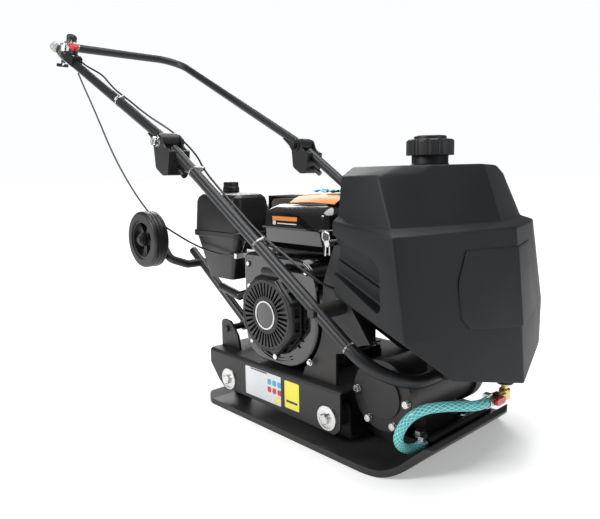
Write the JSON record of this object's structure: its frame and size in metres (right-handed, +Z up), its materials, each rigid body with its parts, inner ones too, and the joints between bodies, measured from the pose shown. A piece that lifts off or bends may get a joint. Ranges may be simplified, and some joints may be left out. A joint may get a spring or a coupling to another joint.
{
  "type": "plate compactor",
  "caption": "Forward plate compactor with a turned-up steel sole plate, belt-driven exciter, petrol engine, V-fronted water tank, folding loop handle and swing-down transport wheels.",
  "frame": {"origin": "on the flat underside of the base plate, on the centre plane, below the rear half of the engine", "axes": "+X forward to the water tank and the turned-up lip, +Y left, +Z up from the ground"},
  "size_m": [1.4641, 0.5218, 0.9855],
  "materials": {
    "plate_paint": "satin",
    "frame_paint": "satin",
    "tube_paint": "gloss",
    "engine_paint": "gloss",
    "engine_alloy": "cast",
    "engine_plastic": "satin",
    "tank_plastic": "matte",
    "zinc": "zinc plated",
    "steel": "machined",
    "rubber": "matte",
    "brass": "satin",
    "red_plastic": "gloss",
    "hose": "clear braided",
    "cast": "painted"
  },
  "bodies": {
    "root": {"base_plate": "plate_paint", "mount_brackets": "plate_paint", "deck": "frame_paint", "side_supports": "frame_paint", "belt_guard": "frame_paint", "wheel_ears": "frame_paint", "handle_brackets": "frame_paint", "sprinkler_bar": "frame_paint", "lower_handle": "tube_paint", "blower_housing": "engine_paint", "fuel_tank": "engine_paint", "muffler_guard": "engine_paint", "crankcase": "engine_paint", "cylinder": "engine_alloy", "cylinder_head": "engine_alloy", "carburetor": "engine_alloy", "recoil_cover": "engine_plastic", "air_cleaner_base": "engine_plastic", "air_cleaner_cover": "engine_plastic", "spark_plug": "engine_plastic", "throttle_cable": "engine_plastic", "stop_wire_lower": "engine_plastic", "water_tank": "tank_plastic", "mount_bolts": "zinc", "exciter_bolts": "zinc", "handle_bolts": "zinc", "tank_rod": "zinc", "hose_clamps": "zinc", "control_plate": "zinc", "engine_fasteners": "zinc", "exciter_bearings": "steel", "muffler": "steel", "rubber_mounts": "rubber", "handle_bushes": "rubber", "tank_pads": "rubber", "drive_belt": "rubber", "tank_outlet": "brass", "water_hose": "hose", "exciter_housing": "cast", "exciter_near_cover": "cast", "exciter_far_cover": "cast"},
    "upper_handle": {"upper_handle": "tube_paint", "handle_barrels": "frame_paint", "throttle_base": "zinc", "switch_box": "engine_plastic", "stop_wire_upper": "engine_plastic"},
    "throttle_lever": {"throttle_lever": "zinc"},
    "stop_button": {"stop_button": "red_plastic"},
    "near_lock_pin": {"near_lock_pin": "zinc"},
    "far_lock_pin": {"far_lock_pin": "zinc"},
    "wheel_frame": {"wheel_frame": "frame_paint"},
    "near_wheel": {"near_wheel": "engine_plastic"},
    "far_wheel": {"far_wheel": "engine_plastic"},
    "water_cap": {"water_cap": "tank_plastic"},
    "fuel_cap": {"fuel_cap": "engine_plastic"},
    "valve_lever": {"valve_lever": "red_plastic"},
    "recoil_grip": {"recoil_grip": "engine_plastic"},
    "crankshaft": {"crankshaft": "steel"},
    "exciter_shaft": {"exciter_shaft": "steel"},
    "throttle_arm": {"throttle_arm": "zinc"}
  },
  "joints": [
    {"name": "upper_handle_fold", "type": "hinge", "parent": "root", "child": "upper_handle", "pos_m": [-0.354, 0, 0.622], "axis": [0, 1, 0], "range_deg": [0, 145]},
    {"name": "throttle_lever_turn", "type": "hinge", "parent": "upper_handle", "child": "throttle_lever", "pos_m": [-0.92497, -0.222, 0.90667], "axis": [0.4462, 0, 0.8949], "range_deg": [0, 60]},
    {"name": "throttle_arm_turn", "type": "hinge", "parent": "root", "child": "throttle_arm", "pos_m": [-0.157, -0.134, 0.322], "axis": [0, 1, 0], "range_deg": [0, 12]},
    {"name": "stop_button_press", "type": "slide", "parent": "upper_handle", "child": "stop_button", "axis": [-0.4462, 0, -0.8949], "range_m": [0, 0.004], "stiffness_N_per_m": 900},
    {"name": "near_lock_pin_slide", "type": "slide", "parent": "root", "child": "near_lock_pin", "axis": [0.8329, 0, -0.5534], "range_m": [0, 0.01], "stiffness_N_per_m": 1200},
    {"name": "far_lock_pin_slide", "type": "slide", "parent": "root", "child": "far_lock_pin", "axis": [0.8329, 0, -0.5534], "range_m": [0, 0.01], "stiffness_N_per_m": 1200},
    {"name": "wheel_frame_swing", "type": "hinge", "parent": "root", "child": "wheel_frame", "pos_m": [-0.245, 0, 0.168], "axis": [0, 1, 0], "range_deg": [-55, 0]},
    {"name": "near_wheel_spin", "type": "hinge", "parent": "wheel_frame", "child": "near_wheel", "pos_m": [-0.5, -0.205, 0.376], "axis": [0, 1, 0], "continuous": true},
    {"name": "far_wheel_spin", "type": "hinge", "parent": "wheel_frame", "child": "far_wheel", "pos_m": [-0.5, 0.205, 0.376], "axis": [0, 1, 0], "continuous": true},
    {"name": "water_cap_lift", "type": "slide", "parent": "root", "child": "water_cap", "axis": [0, 0, 1], "range_m": [0, 0.06]},
    {"name": "fuel_cap_lift", "type": "slide", "parent": "root", "child": "fuel_cap", "axis": [0, 0, 1], "range_m": [0, 0.04]},
    {"name": "valve_lever_turn", "type": "hinge", "parent": "root", "child": "valve_lever", "pos_m": [0.41, -0.04, 0.14], "axis": [1, 0, 0], "range_deg": [0, 90]},
    {"name": "recoil_grip_pull", "type": "slide", "parent": "root", "child": "recoil_grip", "axis": [0, -1, 0], "range_m": [0, 0.25], "stiffness_N_per_m": 60},
    {"name": "crank_spin", "type": "hinge", "parent": "root", "child": "crankshaft", "pos_m": [-0.031, 0, 0.247], "axis": [0, 1, 0], "continuous": true},
    {"name": "exciter_spin", "type": "hinge", "parent": "root", "child": "exciter_shaft", "pos_m": [0.237, 0, 0.126], "axis": [0, 1, 0], "continuous": true}
  ],
  "couplings": [
    {"joint": "exciter_spin", "follows": "crank_spin", "ratio": 1.0909},
    {"joint": "throttle_arm_turn", "follows": "throttle_lever_turn", "ratio": 0.2}
  ]
}
